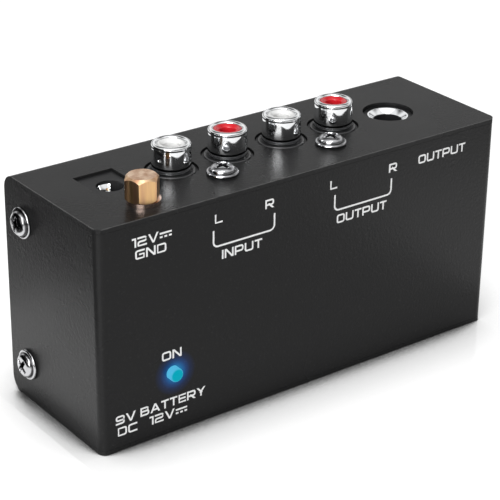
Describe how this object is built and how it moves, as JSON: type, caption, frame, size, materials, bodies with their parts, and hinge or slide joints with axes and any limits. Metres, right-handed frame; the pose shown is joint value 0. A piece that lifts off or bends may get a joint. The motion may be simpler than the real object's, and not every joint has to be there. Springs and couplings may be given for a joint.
{
  "type": "phono preamp",
  "caption": "Compact phono preamp in a folded black steel box with phono sockets, a 6.35 mm socket, a DC socket and a ground terminal on one narrow face.",
  "frame": {"origin": "middle of the face the box stands on, opposite the connector panel", "axes": "+Z out of the connector panel, -Y out of the lettered front, +X along the box to the right seen from the front"},
  "size_m": [0.1078, 0.0397, 0.0562],
  "materials": {
    "sheet_steel": "satin black powder coat",
    "screw": "bright nickel plate",
    "foot_rubber": "matte",
    "socket_plastic": "fine matte",
    "socket_chrome": "polished",
    "white_plastic": "gloss",
    "red_plastic": "gloss",
    "contact_metal": "tin plate",
    "stud_brass": "turned",
    "nut_brass": "drawn, lightly brushed",
    "washer_copper": "pressed copper",
    "green_wire": "vinyl",
    "lamp_lens": "diffused lens, lit",
    "board_laminate": "solder mask",
    "chip_resin": "moulded",
    "capacitor_sleeve": "shrink sleeve",
    "capacitor_case": "moulded",
    "resistor_coat": "lacquer",
    "moulded_plastic": "fine matte",
    "battery_jacket": "printed steel jacket, plain",
    "snap_vinyl": "soft vinyl",
    "wire_vinyl": "vinyl"
  },
  "bodies": {
    "case": {"cover": "sheet_steel", "chassis": "sheet_steel", "case_screws": "screw", "housing_screws": "screw", "rubber_feet": "foot_rubber", "input_housing": "socket_plastic", "output_housing": "socket_plastic", "input_left_shell": "socket_chrome", "input_right_shell": "socket_chrome", "output_left_shell": "socket_chrome", "output_right_shell": "socket_chrome", "input_left_insulator": "white_plastic", "output_left_insulator": "white_plastic", "input_right_insulator": "red_plastic", "output_right_insulator": "red_plastic", "phono_contacts": "contact_metal", "big_jack_body": "socket_plastic", "big_jack_bushing": "socket_chrome", "big_jack_contacts": "contact_metal", "dc_jack_body": "socket_plastic", "dc_jack_pin": "contact_metal", "dc_jack_contact": "contact_metal", "ground_stud": "stud_brass", "ground_lug": "contact_metal", "ground_wire": "green_wire", "pilot_lamp": "lamp_lens", "lamp_spacer": "socket_plastic", "lamp_leads": "contact_metal", "circuit_board": "board_laminate", "board_standoffs": "screw", "board_screws": "screw", "op_amps": "chip_resin", "electrolytic_capacitors": "capacitor_sleeve", "film_capacitors": "capacitor_case", "resistors": "resistor_coat", "voltage_regulator": "chip_resin", "rectifier_diode": "chip_resin", "battery_box": "moulded_plastic", "battery": "battery_jacket", "battery_terminals": "contact_metal", "battery_snap": "snap_vinyl", "battery_wires": "wire_vinyl"},
    "ground_washer": {"ground_washer": "washer_copper"},
    "ground_nut": {"ground_nut": "nut_brass"},
    "battery_door": {"battery_door": "moulded_plastic"}
  },
  "joints": [
    {"name": "ground_lift", "type": "slide", "parent": "case", "child": "ground_washer", "axis": [0, 0, 1], "range_m": [0, 0.0028]},
    {"name": "ground_turn", "type": "hinge", "parent": "ground_washer", "child": "ground_nut", "pos_m": [-0.0375, -0.01155, 0.0511], "axis": [0, 0, 1], "range_deg": [0, 1441]},
    {"name": "battery_door_hinge", "type": "hinge", "parent": "case", "child": "battery_door", "pos_m": [-0.0024, 0.01765, 0.03235], "axis": [1, 0, 0], "range_deg": [0, 95]}
  ],
  "couplings": [
    {"joint": "ground_turn", "follows": "ground_lift", "rad_per_m": 8976}
  ]
}
